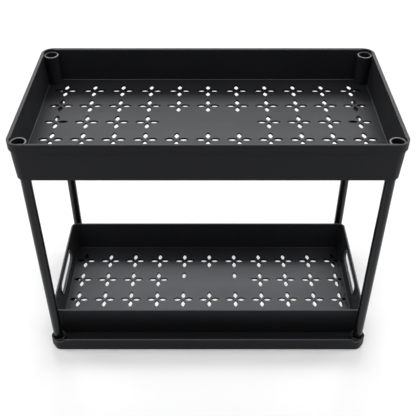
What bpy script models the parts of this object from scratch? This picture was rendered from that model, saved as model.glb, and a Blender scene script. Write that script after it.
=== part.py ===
"""A two-tier storage rack: a perforated tray on four posts, over a low frame that carries a drawer.

Lengths are in metres. The rack stands on the plane z = 0, centred on the origin, with x along its
length and y towards its back. Sizes come first, piece by piece, and the functions that use them follow.
"""

import math

import bmesh
import bpy
from mathutils import Matrix

# Clearances and smoothness that every piece shares
SEAT_GAP = 0.0003
CUT_OVERRUN = 0.001
WELD_DISTANCE = 0.000002
MERGE_DISTANCE = 0.00001
ARC_STEPS = 7
ROUND_SIDES = 24
PLUG_SIDES = 16
EDGE_SEGMENTS = 2
EDGE_ANGLE = math.radians(40)
SMOOTH_ANGLE = math.radians(35)

# Top tray
TRAY_LENGTH = 0.400
TRAY_WIDTH = 0.2096
RACK_HEIGHT = 0.3095
TRAY_DEPTH = 0.0457
TRAY_CORNER_RADIUS = 0.013
TRAY_WALL = 0.002
TRAY_DRAFT = 0.0017
TRAY_FLOOR_LIFT = 0.0037
TRAY_FLOOR_THICKNESS = 0.002
TRAY_EDGE_ROUND = 0.0006
BAND_HEIGHT = 0.0101
BAND_PROUD = 0.0016
TRAY_BASE_Z = RACK_HEIGHT - TRAY_DEPTH
TRAY_FLOOR_UNDER_Z = TRAY_BASE_Z + TRAY_FLOOR_LIFT
TRAY_FLOOR_Z = TRAY_FLOOR_UNDER_Z + TRAY_FLOOR_THICKNESS
BAND_Z = RACK_HEIGHT - BAND_HEIGHT

# Posts and the plugs in their ends
POST_DIAMETER = 0.0112
POST_WALL = 0.0009
POST_END_INSET = 0.0115
POST_SIDE_INSET = 0.0112
POST_RADIUS = POST_DIAMETER / 2
POST_BORE_RADIUS = POST_RADIUS - POST_WALL
POST_X = TRAY_LENGTH / 2 - POST_END_INSET
POST_Y = TRAY_WIDTH / 2 - POST_SIDE_INSET
PLUG_FLANGE = 0.0012
PLUG_LENGTH = 0.012
PLUG_TIP_CHAMFER = 0.0008
PLUG_RADIUS = POST_BORE_RADIUS - SEAT_GAP

# Corner sockets of the top tray: an open cup above, the post's bore below, a web between
TRAY_SOCKET_DROP = 0.0035
TRAY_SOCKET_LIFT = 0.0005
TRAY_SOCKET_TAPER = 0.0005
CUP_GAP = 0.001
CUP_WALL = 0.0019
CUP_DEPTH = 0.015
WEB_THICKNESS = 0.002
CUP_RADIUS = POST_RADIUS + CUP_GAP
TRAY_SOCKET_RADIUS = CUP_RADIUS + CUP_WALL
TRAY_SOCKET_Z = RACK_HEIGHT - TRAY_SOCKET_DROP
TRAY_SOCKET_FOOT_Z = TRAY_BASE_Z + TRAY_SOCKET_LIFT
WEB_TOP_Z = TRAY_SOCKET_Z - CUP_DEPTH
WEB_UNDER_Z = WEB_TOP_Z - WEB_THICKNESS
SOCKET_BORE_RADIUS = POST_RADIUS + SEAT_GAP

# Foot pads
FOOT_DIAMETER = 0.012
FOOT_THICKNESS = 0.002
FOOT_PROUD = 0.001
FOOT_EDGE_CHAMFER = 0.0003
FOOT_RADIUS = FOOT_DIAMETER / 2
FOOT_RECESS_Z = FOOT_THICKNESS + SEAT_GAP

# Base frame
BASE_END_SETBACK = 0.0053
BASE_SIDE_SPREAD = 0.001
BASE_HEIGHT = 0.0192
BASE_WALL = 0.002
BASE_CORNER_RADIUS = 0.010
BASE_EDGE_ROUND = 0.0008
LEDGE_THICKNESS = 0.002
END_LEDGE_WIDTH = 0.0142
LEDGE_CORNER_CUT = 0.020
RIM_END_INSET = 0.014
CORNER_DROP = 0.0044
CORNER_BLOCK_LENGTH = 0.0135
CORNER_BLOCK_DROP = 0.0005
LEAD_IN_GAP = 0.0015
LEAD_IN_WALL = 0.0015
LEAD_IN_DEPTH = 0.003
SOCKET_FLOOR_THICKNESS = 0.002
FOOT_INSET = 0.0085
BASE_LENGTH = TRAY_LENGTH - 2 * BASE_END_SETBACK
BASE_WIDTH = TRAY_WIDTH + 2 * BASE_SIDE_SPREAD
BASE_UNDER_Z = FOOT_PROUD
LEDGE_Z = BASE_UNDER_Z + LEDGE_THICKNESS
CORNER_Z = BASE_HEIGHT - CORNER_DROP
RIM_END_X = BASE_LENGTH / 2 - RIM_END_INSET
LEAD_IN_RADIUS = POST_RADIUS + LEAD_IN_GAP
BASE_SOCKET_RADIUS = LEAD_IN_RADIUS + LEAD_IN_WALL
BASE_BORE_Z = FOOT_RECESS_Z + SOCKET_FLOOR_THICKNESS
FOOT_X = BASE_LENGTH / 2 - FOOT_INSET
FOOT_Y = BASE_WIDTH / 2 - FOOT_INSET

# Drawer
DRAWER_SOCKET_CLEARANCE = 0.0017
DRAWER_RIM_Z = 0.048
DRAWER_WALL = 0.002
DRAWER_DRAFT = 0.0038
DRAWER_CORNER_RADIUS = 0.007
DRAWER_FLOOR_THICKNESS = 0.0025
DRAWER_EDGE_ROUND = 0.0006
DRAWER_BEARING = 0.0115
SLOT_LENGTH = 0.075
SLOT_HEIGHT = 0.016
SLOT_CORNER_RADIUS = 0.007
SLOT_BAR = 0.0065
DRAWER_LENGTH = BASE_LENGTH
DRAWER_WIDTH = 2 * (POST_Y - BASE_SOCKET_RADIUS - DRAWER_SOCKET_CLEARANCE)
DRAWER_BASE_Z = LEDGE_Z + SEAT_GAP
DRAWER_FLOOR_Z = DRAWER_BASE_Z + DRAWER_FLOOR_THICKNESS
DRAWER_DEPTH = DRAWER_RIM_Z - DRAWER_BASE_Z
SLOT_Z = DRAWER_RIM_Z - SLOT_BAR - SLOT_HEIGHT / 2

# Ledge opening, under the drawer
OPENING_X = BASE_LENGTH / 2 - END_LEDGE_WIDTH
OPENING_Y = DRAWER_WIDTH / 2 - DRAWER_DRAFT - DRAWER_BEARING

# Flowers of four petals, punched through both floors
PETAL_LENGTH = 0.0115
PETAL_WIDTH = 0.0055
PETAL_START = 0.002
PETAL_STEPS = 3
END_PETAL_LENGTH = 0.005
FLOWER_EDGE_MARGIN = 0.003
TRAY_FLOWER_PITCH_X = 0.0344
TRAY_FLOWER_PITCH_Y = 0.0355
TRAY_FLOWER_SHIFT_Y = 0.0015
DRAWER_FLOWER_PITCH_X = 0.0353
DRAWER_FLOWER_PITCH_Y = 0.0374
DRAWER_FLOWER_SHIFT_X = 0.0018
DRAWER_FLOWER_SHIFT_Y = -0.0058
BARE_COLUMNS = 3
RIGHT, BACK, LEFT, FRONT = range(4)
ALL_PETALS = (RIGHT, BACK, LEFT, FRONT)

# Where the post ends lie, worked out from the sockets
POST_LOW_Z = BASE_BORE_Z + SEAT_GAP + PLUG_FLANGE + SEAT_GAP
POST_HIGH_Z = WEB_UNDER_Z - SEAT_GAP - PLUG_FLANGE - SEAT_GAP

CORNERS = {
    "front_left": (-1, -1),
    "front_right": (1, -1),
    "back_left": (-1, 1),
    "back_right": (1, 1),
}


def clear_scene():
    """Remove whatever objects the file opened with."""
    for thing in list(bpy.data.objects):
        bpy.data.objects.remove(thing, do_unlink=True)


def make_collection(name):
    """A new collection in the scene."""
    collection = bpy.data.collections.new(name)
    bpy.context.scene.collection.children.link(collection)
    return collection


def make_material(name, colour, roughness, metallic):
    """A plain shader with the finish of one material."""
    material = bpy.data.materials.new(name)
    material.use_nodes = True
    shader = material.node_tree.nodes["Principled BSDF"]
    shader.inputs["Base Color"].default_value = (*colour, 1)
    shader.inputs["Roughness"].default_value = roughness
    shader.inputs["Metallic"].default_value = metallic
    material.diffuse_color = (*colour, 1)
    return material


def add_object(name, mesh, collection):
    """A new object round a mesh, shaded smooth except at its sharp edges."""
    mesh.shade_smooth()
    mesh.set_sharp_from_angle(angle=SMOOTH_ANGLE)
    thing = bpy.data.objects.new(name, mesh)
    collection.objects.link(thing)
    return thing


def as_cutter(thing):
    """Mark an object as a tool that only shapes others."""
    thing.hide_render = True
    thing.display_type = "WIRE"
    return thing


def finish_mesh(name, shape):
    """Turn a bmesh into a mesh with its faces pointing out."""
    bmesh.ops.recalc_face_normals(shape, faces=shape.faces)
    mesh = bpy.data.meshes.new(name)
    shape.to_mesh(mesh)
    shape.free()
    return mesh


def cut(thing, operation, tool):
    """Join, cut or trim an object by another, with the exact solver."""
    modifier = thing.modifiers.new(operation.lower() + "_" + tool.name, "BOOLEAN")
    modifier.operation = operation
    modifier.solver = "EXACT"
    modifier.object = tool


def round_edges(thing, width):
    """Round the sharp edges of an object."""
    modifier = thing.modifiers.new("rounded_edges", "BEVEL")
    modifier.width = width
    modifier.segments = EDGE_SEGMENTS
    modifier.limit_method = "ANGLE"
    modifier.angle_limit = EDGE_ANGLE
    modifier.use_clamp_overlap = True


def rounded_rectangle(length, width, radius, inset):
    """Points round a rectangle with arcs for corners, drawn in by an inset on every side."""
    arc_radius = max(radius - inset, SEAT_GAP)
    centre_x = length / 2 - inset - arc_radius
    centre_y = width / 2 - inset - arc_radius
    points = []
    for quarter, (side_x, side_y) in enumerate(((1, 1), (-1, 1), (-1, -1), (1, -1))):
        for step in range(ARC_STEPS + 1):
            angle = (quarter + step / ARC_STEPS) * math.pi / 2
            x = side_x * centre_x + arc_radius * math.cos(angle)
            y = side_y * centre_y + arc_radius * math.sin(angle)
            points.append((x, y))
    return points


def swept_tray(name, length, width, radius, profile, collection):
    """Carry a profile of insets and heights round a rounded rectangle.

    Each profile point gives one ring, drawn in by its inset at its height. The first and last rings
    are closed flat, so a profile that goes out, up, over and back in makes a tray.
    """
    shape = bmesh.new()
    rings = []
    for inset, height in profile:
        outline = rounded_rectangle(length, width, radius, inset)
        rings.append([shape.verts.new((x, y, height)) for x, y in outline])
    for lower, upper in zip(rings, rings[1:]):
        for index in range(len(lower)):
            shape.faces.new((lower[index - 1], lower[index], upper[index], upper[index - 1]))
    shape.faces.new(rings[0])
    shape.faces.new(rings[-1])
    return add_object(name, finish_mesh(name, shape), collection)


def outline_prism(name, outlines, middle, thickness, collection, turn=None):
    """Extrude flat outlines to both sides of a plane, and weld the result into closed prisms."""
    curve = bpy.data.curves.new(name, "CURVE")
    curve.dimensions = "2D"
    curve.fill_mode = "BOTH"
    curve.extrude = thickness / 2
    for outline in outlines:
        spline = curve.splines.new("POLY")
        spline.points.add(len(outline) - 1)
        for point, (x, y) in zip(spline.points, outline):
            point.co = (x, y, 0, 1)
        spline.use_cyclic_u = True
    drawing = bpy.data.objects.new(name + "_outline", curve)
    collection.objects.link(drawing)
    drawing.matrix_world = Matrix.Translation(middle) @ (turn or Matrix.Identity(4))
    bpy.context.view_layer.update()
    flat = drawing.evaluated_get(bpy.context.evaluated_depsgraph_get())
    shape = bmesh.new()
    shape.from_mesh(bpy.data.meshes.new_from_object(flat))
    bmesh.ops.remove_doubles(shape, verts=shape.verts, dist=WELD_DISTANCE)
    prism = add_object(name, finish_mesh(name, shape), collection)
    prism.matrix_world = drawing.matrix_world
    bpy.data.objects.remove(drawing)
    return prism


def round_columns(name, places, low, high, low_radius, high_radius, collection):
    """Upright round columns, one at each place, between two heights."""
    shape = bmesh.new()
    for x, y in places:
        bmesh.ops.create_cone(
            shape,
            cap_ends=True,
            segments=ROUND_SIDES,
            radius1=low_radius,
            radius2=high_radius,
            depth=high - low,
            matrix=Matrix.Translation((x, y, (low + high) / 2)),
        )
    return add_object(name, finish_mesh(name, shape), collection)


def boxes(name, spans, collection):
    """Square blocks, each given by its lowest and highest corner."""
    shape = bmesh.new()
    for low, high in spans:
        for vertex in bmesh.ops.create_cube(shape, size=1)["verts"]:
            vertex.co = [high[axis] if vertex.co[axis] > 0 else low[axis] for axis in range(3)]
    return add_object(name, finish_mesh(name, shape), collection)


def turned_mesh(name, profile, sides, collection):
    """A mesh turned round the z axis from radius and height points, closed where it meets the axis."""
    shape = bmesh.new()
    points = [shape.verts.new((radius, 0, height)) for radius, height in profile]
    for start, end in zip(points, points[1:]):
        shape.edges.new((start, end))
    if profile[0][0] > 0:
        shape.edges.new((points[-1], points[0]))
    mesh = bpy.data.meshes.new(name)
    shape.to_mesh(mesh)
    shape.free()
    blank = bpy.data.objects.new(name, mesh)
    collection.objects.link(blank)
    modifier = blank.modifiers.new("turning", "SCREW")
    modifier.steps = sides
    modifier.render_steps = sides
    modifier.use_merge_vertices = True
    modifier.merge_threshold = MERGE_DISTANCE
    bpy.context.view_layer.update()
    turned = bpy.data.meshes.new_from_object(blank.evaluated_get(bpy.context.evaluated_depsgraph_get()))
    turned.name = name
    bpy.data.objects.remove(blank)
    return turned


def corner_places(x, y):
    """The four places at equal distances from the middle."""
    return [(side_x * x, side_y * y) for side_x, side_y in CORNERS.values()]


def petal(centre_x, centre_y, direction, length):
    """A pointed oval that leaves its flower's centre in one of four directions.

    Its half width rises and falls along its length as a parabola.
    """
    angle = direction * math.pi / 2
    edge = []
    for side in (-1, 1):
        for step in range(PETAL_STEPS):
            share = step / PETAL_STEPS if side < 0 else 1 - step / PETAL_STEPS
            along = PETAL_START + length * share
            across = side * PETAL_WIDTH / 2 * 4 * share * (1 - share)
            x = centre_x + along * math.cos(angle) - across * math.sin(angle)
            y = centre_y + along * math.sin(angle) + across * math.cos(angle)
            edge.append((x, y))
    return edge


def fitting_count(half_span, pitch, petal_length):
    """How many flowers fit at a pitch, if the petals at both ends are at least so long."""
    free = 2 * (half_span - PETAL_START - petal_length)
    return int(free / pitch) + 1


def petal_room(x, y, direction, half_length, half_width):
    """How long a petal can be before it reaches the edge that it points at."""
    reach = (half_length - x, half_width - y, half_length + x, half_width + y)[direction]
    return reach - PETAL_START


def flower_grid(floor_length, floor_width, pitch, shift, petals_of):
    """Petal outlines on a grid, where petals_of says which petals each flower has.

    A petal that would come too near the wall is shortened.
    """
    half_length = floor_length / 2 - FLOWER_EDGE_MARGIN
    half_width = floor_width / 2 - FLOWER_EDGE_MARGIN
    columns = fitting_count(half_length, pitch[0], END_PETAL_LENGTH)
    rows = fitting_count(half_width, pitch[1], PETAL_LENGTH)
    outlines = []
    for row in range(rows):
        y = shift[1] + ((rows - 1) / 2 - row) * pitch[1]
        for column in range(columns):
            from_middle = column - (columns - 1) / 2
            x = shift[0] + from_middle * pitch[0]
            for direction in petals_of(row, rows, from_middle):
                length = min(PETAL_LENGTH, petal_room(x, y, direction, half_length, half_width))
                outlines.append(petal(x, y, direction, length))
    return outlines


def tray_petals_of(row, rows, from_middle):
    """The tray's middle row is bare at its middle columns."""
    bare = row == rows // 2 and abs(from_middle) < BARE_COLUMNS / 2
    return () if bare else ALL_PETALS


def drawer_petals_of(row, rows, from_middle):
    """The drawer's second row from the back is bare in the middle, but for two single petals."""
    if row != 1 or abs(from_middle) >= BARE_COLUMNS / 2:
        return ALL_PETALS
    return (BACK,) if abs(from_middle) >= 1 else ()


def tray_shell(collection):
    """The tray's skin: floor, drafted walls, and the band that stands proud round the rim."""
    foot_inset = BAND_PROUD + TRAY_DRAFT
    profile = [
        (foot_inset + TRAY_WALL, TRAY_FLOOR_UNDER_Z),
        (foot_inset + TRAY_WALL, TRAY_BASE_Z),
        (foot_inset, TRAY_BASE_Z),
        (BAND_PROUD, BAND_Z),
        (0, BAND_Z),
        (0, RACK_HEIGHT),
        (BAND_PROUD + TRAY_WALL, RACK_HEIGHT),
        (foot_inset + TRAY_WALL, TRAY_FLOOR_Z),
    ]
    shell = swept_tray("top_tray", TRAY_LENGTH, TRAY_WIDTH, TRAY_CORNER_RADIUS, profile, collection)
    round_edges(shell, TRAY_EDGE_ROUND)
    return shell


def tray_sockets(tools):
    """The four socket columns, trimmed at the middle of the tray's wall."""
    places = corner_places(POST_X, POST_Y)
    foot_radius = TRAY_SOCKET_RADIUS - TRAY_SOCKET_TAPER
    columns = as_cutter(round_columns("tray_sockets", places, TRAY_SOCKET_FOOT_Z, TRAY_SOCKET_Z,
                                      foot_radius, TRAY_SOCKET_RADIUS, tools))
    middle_inset = BAND_PROUD + TRAY_WALL / 2
    profile = [
        (middle_inset + TRAY_DRAFT, TRAY_BASE_Z),
        (middle_inset, RACK_HEIGHT),
    ]
    trim = as_cutter(swept_tray("socket_trim", TRAY_LENGTH, TRAY_WIDTH, TRAY_CORNER_RADIUS, profile, tools))
    cut(columns, "INTERSECT", trim)
    return columns


def make_top_tray(parts, tools, material):
    """The upper tray: shell, sockets, cups for a stacked tier, post bores and flowers."""
    tray = tray_shell(parts)
    tray.data.materials.append(material)
    cut(tray, "UNION", tray_sockets(tools))
    places = corner_places(POST_X, POST_Y)
    cut(tray, "DIFFERENCE", as_cutter(round_columns(
        "tray_cups", places, WEB_TOP_Z, TRAY_SOCKET_Z + CUT_OVERRUN, CUP_RADIUS, CUP_RADIUS, tools)))
    cut(tray, "DIFFERENCE", as_cutter(round_columns(
        "tray_bores", places, TRAY_BASE_Z - CUT_OVERRUN, WEB_UNDER_Z,
        SOCKET_BORE_RADIUS, SOCKET_BORE_RADIUS, tools)))
    floor_inset = BAND_PROUD + TRAY_DRAFT + TRAY_WALL
    pitch = (TRAY_FLOWER_PITCH_X, TRAY_FLOWER_PITCH_Y)
    shift = (0, TRAY_FLOWER_SHIFT_Y)
    outlines = flower_grid(TRAY_LENGTH - 2 * floor_inset, TRAY_WIDTH - 2 * floor_inset,
                           pitch, shift, tray_petals_of)
    middle = (0, 0, (TRAY_FLOOR_UNDER_Z + TRAY_FLOOR_Z) / 2)
    thickness = TRAY_FLOOR_THICKNESS + 2 * CUT_OVERRUN
    cut(tray, "DIFFERENCE", as_cutter(outline_prism("tray_flowers", outlines, middle, thickness, tools)))
    return tray


def base_shell(collection):
    """The base frame's skin: a full plate with an upright wall all round."""
    profile = [
        (0, BASE_UNDER_Z),
        (0, BASE_HEIGHT),
        (BASE_WALL, BASE_HEIGHT),
        (BASE_WALL, LEDGE_Z),
    ]
    shell = swept_tray("base_frame", BASE_LENGTH, BASE_WIDTH, BASE_CORNER_RADIUS, profile, collection)
    round_edges(shell, BASE_EDGE_ROUND)
    return shell


def base_corner_cutter(tools):
    """Lower the four corners below the rims of the front and back."""
    reach_x = BASE_LENGTH / 2 + CUT_OVERRUN
    reach_y = BASE_WIDTH / 2 + CUT_OVERRUN
    spans = []
    for side in (-1, 1):
        ends = sorted((side * RIM_END_X, side * reach_x))
        spans.append(((ends[0], -reach_y, CORNER_Z), (ends[1], reach_y, BASE_HEIGHT + CUT_OVERRUN)))
    return as_cutter(boxes("base_corners", spans, tools))


def base_end_cutter(tools):
    """Clear both end walls between the sockets, so that the drawer can slide out."""
    inner_x = BASE_LENGTH / 2 - BASE_WALL - BASE_EDGE_ROUND - CUT_OVERRUN
    outer_x = BASE_LENGTH / 2 + CUT_OVERRUN
    spans = []
    for side in (-1, 1):
        ends = sorted((side * inner_x, side * outer_x))
        spans.append(((ends[0], -POST_Y, LEDGE_Z), (ends[1], POST_Y, BASE_HEIGHT)))
    return as_cutter(boxes("base_ends", spans, tools))


def base_corner_blocks(tools):
    """Fill each corner outside its socket, up to the middle of the wall and just below its top."""
    outline = rounded_rectangle(BASE_LENGTH, BASE_WIDTH, BASE_CORNER_RADIUS, BASE_WALL / 2)
    low = LEDGE_Z - LEDGE_THICKNESS / 2
    high = CORNER_Z - CORNER_BLOCK_DROP
    blocks = outline_prism("base_corner_blocks", [outline], (0, 0, (low + high) / 2), high - low, tools)
    inner_x = BASE_LENGTH / 2 - CORNER_BLOCK_LENGTH
    reach_x = BASE_LENGTH / 2 + CUT_OVERRUN
    reach_y = BASE_WIDTH / 2 + CUT_OVERRUN
    gaps = {
        "base_front_gap": ((-inner_x, -reach_y, low - CUT_OVERRUN), (inner_x, reach_y, high + CUT_OVERRUN)),
        "base_end_gap": ((-reach_x, -POST_Y, low - CUT_OVERRUN), (reach_x, POST_Y, high + CUT_OVERRUN)),
    }
    for name, span in gaps.items():
        cut(blocks, "DIFFERENCE", as_cutter(boxes(name, [span], tools)))
    return as_cutter(blocks)


def ledge_opening(tools):
    """The hole in the middle of the ledge, with its corners cut across."""
    x, y, cut_off = OPENING_X, OPENING_Y, LEDGE_CORNER_CUT
    outline = [
        (x, cut_off - y), (x, y - cut_off), (x - cut_off, y), (cut_off - x, y),
        (-x, y - cut_off), (-x, cut_off - y), (cut_off - x, -y), (x - cut_off, -y),
    ]
    middle = (0, 0, (BASE_UNDER_Z + LEDGE_Z) / 2)
    thickness = LEDGE_THICKNESS + 2 * CUT_OVERRUN
    return as_cutter(outline_prism("ledge_opening", [outline], middle, thickness, tools))


def make_base_frame(parts, tools, material):
    """The base frame: front and back rims, open ends, ledge, corner sockets and pad recesses."""
    frame = base_shell(parts)
    frame.data.materials.append(material)
    places = corner_places(POST_X, POST_Y)
    cut(frame, "DIFFERENCE", base_corner_cutter(tools))
    cut(frame, "DIFFERENCE", base_end_cutter(tools))
    cut(frame, "UNION", base_corner_blocks(tools))
    cut(frame, "UNION", as_cutter(round_columns(
        "base_sockets", places, LEDGE_Z - LEDGE_THICKNESS / 2, CORNER_Z,
        BASE_SOCKET_RADIUS, BASE_SOCKET_RADIUS, tools)))
    cut(frame, "DIFFERENCE", as_cutter(round_columns(
        "base_lead_ins", places, CORNER_Z - LEAD_IN_DEPTH, CORNER_Z + CUT_OVERRUN,
        LEAD_IN_RADIUS, LEAD_IN_RADIUS, tools)))
    cut(frame, "DIFFERENCE", as_cutter(round_columns(
        "base_bores", places, BASE_BORE_Z, CORNER_Z, SOCKET_BORE_RADIUS, SOCKET_BORE_RADIUS, tools)))
    cut(frame, "DIFFERENCE", as_cutter(round_columns(
        "foot_recesses", corner_places(FOOT_X, FOOT_Y), BASE_UNDER_Z - CUT_OVERRUN, FOOT_RECESS_Z,
        FOOT_RADIUS + SEAT_GAP, FOOT_RADIUS + SEAT_GAP, tools)))
    cut(frame, "DIFFERENCE", ledge_opening(tools))
    return frame


def handle_slots(tools):
    """One long prism that cuts the same slot through both short ends."""
    outline = rounded_rectangle(SLOT_LENGTH, SLOT_HEIGHT, SLOT_CORNER_RADIUS, 0)
    turn = Matrix(((0, 0, 1, 0), (1, 0, 0, 0), (0, 1, 0, 0), (0, 0, 0, 1)))
    thickness = DRAWER_LENGTH + 2 * CUT_OVERRUN
    return as_cutter(outline_prism("handle_slots", [outline], (0, 0, SLOT_Z), thickness, tools, turn))


def make_drawer(parts, tools, material):
    """The drawer: drafted walls, a handle slot in each end, and flowers in its floor."""
    profile = [
        (DRAWER_DRAFT, 0),
        (0, DRAWER_DEPTH),
        (DRAWER_WALL, DRAWER_DEPTH),
        (DRAWER_DRAFT + DRAWER_WALL, DRAWER_FLOOR_THICKNESS),
    ]
    drawer = swept_tray("drawer", DRAWER_LENGTH, DRAWER_WIDTH, DRAWER_CORNER_RADIUS, profile, parts)
    drawer.location = (0, 0, DRAWER_BASE_Z)
    drawer.data.materials.append(material)
    round_edges(drawer, DRAWER_EDGE_ROUND)
    cut(drawer, "DIFFERENCE", handle_slots(tools))
    floor_inset = DRAWER_DRAFT + DRAWER_WALL
    pitch = (DRAWER_FLOWER_PITCH_X, DRAWER_FLOWER_PITCH_Y)
    shift = (DRAWER_FLOWER_SHIFT_X, DRAWER_FLOWER_SHIFT_Y)
    outlines = flower_grid(DRAWER_LENGTH - 2 * floor_inset, DRAWER_WIDTH - 2 * floor_inset,
                           pitch, shift, drawer_petals_of)
    middle = (0, 0, (DRAWER_BASE_Z + DRAWER_FLOOR_Z) / 2)
    thickness = DRAWER_FLOOR_THICKNESS + 2 * CUT_OVERRUN
    cut(drawer, "DIFFERENCE", as_cutter(outline_prism("drawer_flowers", outlines, middle, thickness, tools)))
    return drawer


def make_posts(parts, tools, material):
    """Four equal tubes, from socket to socket."""
    profile = [
        (POST_RADIUS, POST_HIGH_Z),
        (POST_RADIUS, POST_LOW_Z),
        (POST_BORE_RADIUS, POST_LOW_Z),
        (POST_BORE_RADIUS, POST_HIGH_Z),
    ]
    mesh = turned_mesh("post", profile, ROUND_SIDES, tools)
    mesh.materials.append(material)
    for corner, (side_x, side_y) in CORNERS.items():
        post = add_object("post_" + corner, mesh, parts)
        post.location = (side_x * POST_X, side_y * POST_Y, 0)


def plug_profile():
    """A plug with its flange's outer face at height zero and its body above."""
    tip_z = PLUG_FLANGE + PLUG_LENGTH
    return [
        (0, tip_z),
        (PLUG_RADIUS - PLUG_TIP_CHAMFER, tip_z),
        (PLUG_RADIUS, tip_z - PLUG_TIP_CHAMFER),
        (PLUG_RADIUS, PLUG_FLANGE),
        (POST_RADIUS, PLUG_FLANGE),
        (POST_RADIUS, 0),
        (0, 0),
    ]


def make_plugs(parts, tools, material):
    """A plug in each end of each post, the upper ones upside down."""
    mesh = turned_mesh("plug", plug_profile(), PLUG_SIDES, tools)
    mesh.materials.append(material)
    for corner, (side_x, side_y) in CORNERS.items():
        place = (side_x * POST_X, side_y * POST_Y)
        low = add_object("plug_" + corner + "_low", mesh, parts)
        low.location = (*place, BASE_BORE_Z + SEAT_GAP)
        high = add_object("plug_" + corner + "_high", mesh, parts)
        high.location = (*place, WEB_UNDER_Z - SEAT_GAP)
        high.rotation_euler = (math.pi, 0, 0)


def make_feet(parts, tools, material):
    """Four round pads, each part way into its recess."""
    profile = [
        (0, FOOT_THICKNESS),
        (FOOT_RADIUS, FOOT_THICKNESS),
        (FOOT_RADIUS, FOOT_EDGE_CHAMFER),
        (FOOT_RADIUS - FOOT_EDGE_CHAMFER, 0),
        (0, 0),
    ]
    mesh = turned_mesh("foot", profile, PLUG_SIDES, tools)
    mesh.materials.append(material)
    for corner, (side_x, side_y) in CORNERS.items():
        foot = add_object("foot_" + corner, mesh, parts)
        foot.location = (side_x * FOOT_X, side_y * FOOT_Y, 0)


def main():
    """Build the rack."""
    clear_scene()
    parts = make_collection("two_tier_storage_rack")
    tools = make_collection("cutters")
    tray_plastic = make_material("tray_plastic", (0.019, 0.019, 0.020), 0.42, 0)
    frame_plastic = make_material("frame_plastic", (0.019, 0.019, 0.020), 0.45, 0)
    drawer_plastic = make_material("drawer_plastic", (0.019, 0.019, 0.020), 0.42, 0)
    post_paint = make_material("post_paint", (0.022, 0.022, 0.023), 0.35, 0.1)
    plug_plastic = make_material("plug_plastic", (0.015, 0.015, 0.015), 0.6, 0)
    foot_rubber = make_material("foot_rubber", (0.012, 0.012, 0.012), 0.8, 0)
    make_top_tray(parts, tools, tray_plastic)
    make_base_frame(parts, tools, frame_plastic)
    make_drawer(parts, tools, drawer_plastic)
    make_posts(parts, tools, post_paint)
    make_plugs(parts, tools, plug_plastic)
    make_feet(parts, tools, foot_rubber)


main()
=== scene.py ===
"""The looks of a two-tier storage rack: moulded trays, painted posts, pads, soft light and camera.

Lengths are in metres. Places come from the frame's boxes; the named sizes below are those that the
boxes don't give. Each surface is worked out with numpy as rings of points, and the Boolean cuts
that need solid shapes are made at once. The one modifier that a finished piece keeps weights its
normals, so that its flat faces look flat.
"""

import math

import bmesh
import bpy
import numpy as np
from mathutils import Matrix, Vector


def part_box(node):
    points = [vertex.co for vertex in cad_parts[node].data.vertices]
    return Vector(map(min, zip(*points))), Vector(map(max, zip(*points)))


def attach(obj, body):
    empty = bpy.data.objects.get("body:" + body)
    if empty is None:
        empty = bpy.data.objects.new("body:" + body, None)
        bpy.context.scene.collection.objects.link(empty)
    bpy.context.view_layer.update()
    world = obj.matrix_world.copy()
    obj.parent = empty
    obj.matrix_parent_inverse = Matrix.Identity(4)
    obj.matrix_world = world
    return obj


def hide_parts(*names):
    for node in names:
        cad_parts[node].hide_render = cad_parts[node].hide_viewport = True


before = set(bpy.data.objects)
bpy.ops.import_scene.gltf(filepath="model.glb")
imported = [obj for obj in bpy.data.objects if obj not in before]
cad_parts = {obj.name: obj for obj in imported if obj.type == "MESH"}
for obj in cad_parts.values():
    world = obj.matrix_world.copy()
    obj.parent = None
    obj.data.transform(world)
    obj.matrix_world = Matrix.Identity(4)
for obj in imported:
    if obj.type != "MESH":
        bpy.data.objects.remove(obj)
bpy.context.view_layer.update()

# Smoothness of the surfaces
ARC_STEPS = 10
FILLET_STEPS = 4
TURNED_SIDES = 64
SMALL_SIDES = 48
EDGE_STEPS = 4
KNEE_STEPS = 3
PETAL_POINTS = EDGE_STEPS + 4 * KNEE_STEPS
WELD_DISTANCE = 0.00001
SHARP_ANGLE = math.radians(35)

# Roundings that several pieces share. The last is for corners of a tool that lie off the solid.
EDGE_ROUND = 0.0004
STEP_ROUND = 0.0003
TOOL_ROUND = 0.0001

# How far a tool that joins or cuts runs past the solid, and a slot's flare stands off its face
TOOL_MARGIN = 0.001
CUT_OVERRUN = 0.002
CUT_CLEARANCE = 0.00003

# The most that an upright wall's normal leans up or down, and the least that a ring's top looks up
WALL_LEAN = 0.9
RING_LOOKS_UP = 0.3

# Top tray, as insets from its rim's outer face
TRAY_LOW, TRAY_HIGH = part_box("top_tray")
TRAY_CORNER_RADIUS = 0.013
BAND_PROUD = 0.0016
BAND_HEIGHT = 0.0101
TRAY_WALL = 0.002
TRAY_DRAFT = 0.0017
TRAY_FLOOR_LIFT = 0.0037
TRAY_FLOOR_THICKNESS = 0.002
TRAY_FOOT_INSET = BAND_PROUD + TRAY_DRAFT
TRAY_FLOOR_INSET = TRAY_FOOT_INSET + TRAY_WALL
TRAY_RIM_Z = TRAY_HIGH.z
TRAY_BASE_Z = TRAY_LOW.z
BAND_Z = TRAY_RIM_Z - BAND_HEIGHT
BAND_ROUND = 0.0007
RIM_ROUND = 0.0005
RIM_INNER_ROUND = 0.0005
TRAY_FLOOR_ROUND = 0.0006
RIM_WIDTH = BAND_PROUD + TRAY_WALL
RIM_FALL = 0.0007
RIM_SLOPE = math.atan(RIM_FALL / RIM_WIDTH)
RIM_CORNER_Z = TRAY_RIM_Z + RIM_ROUND * (math.tan(math.pi / 4 + RIM_SLOPE / 2) - 1)
TRAY_UNDER_Z = TRAY_BASE_Z + TRAY_FLOOR_LIFT
TRAY_FLOOR_Z = TRAY_UNDER_Z + TRAY_FLOOR_THICKNESS

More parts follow.
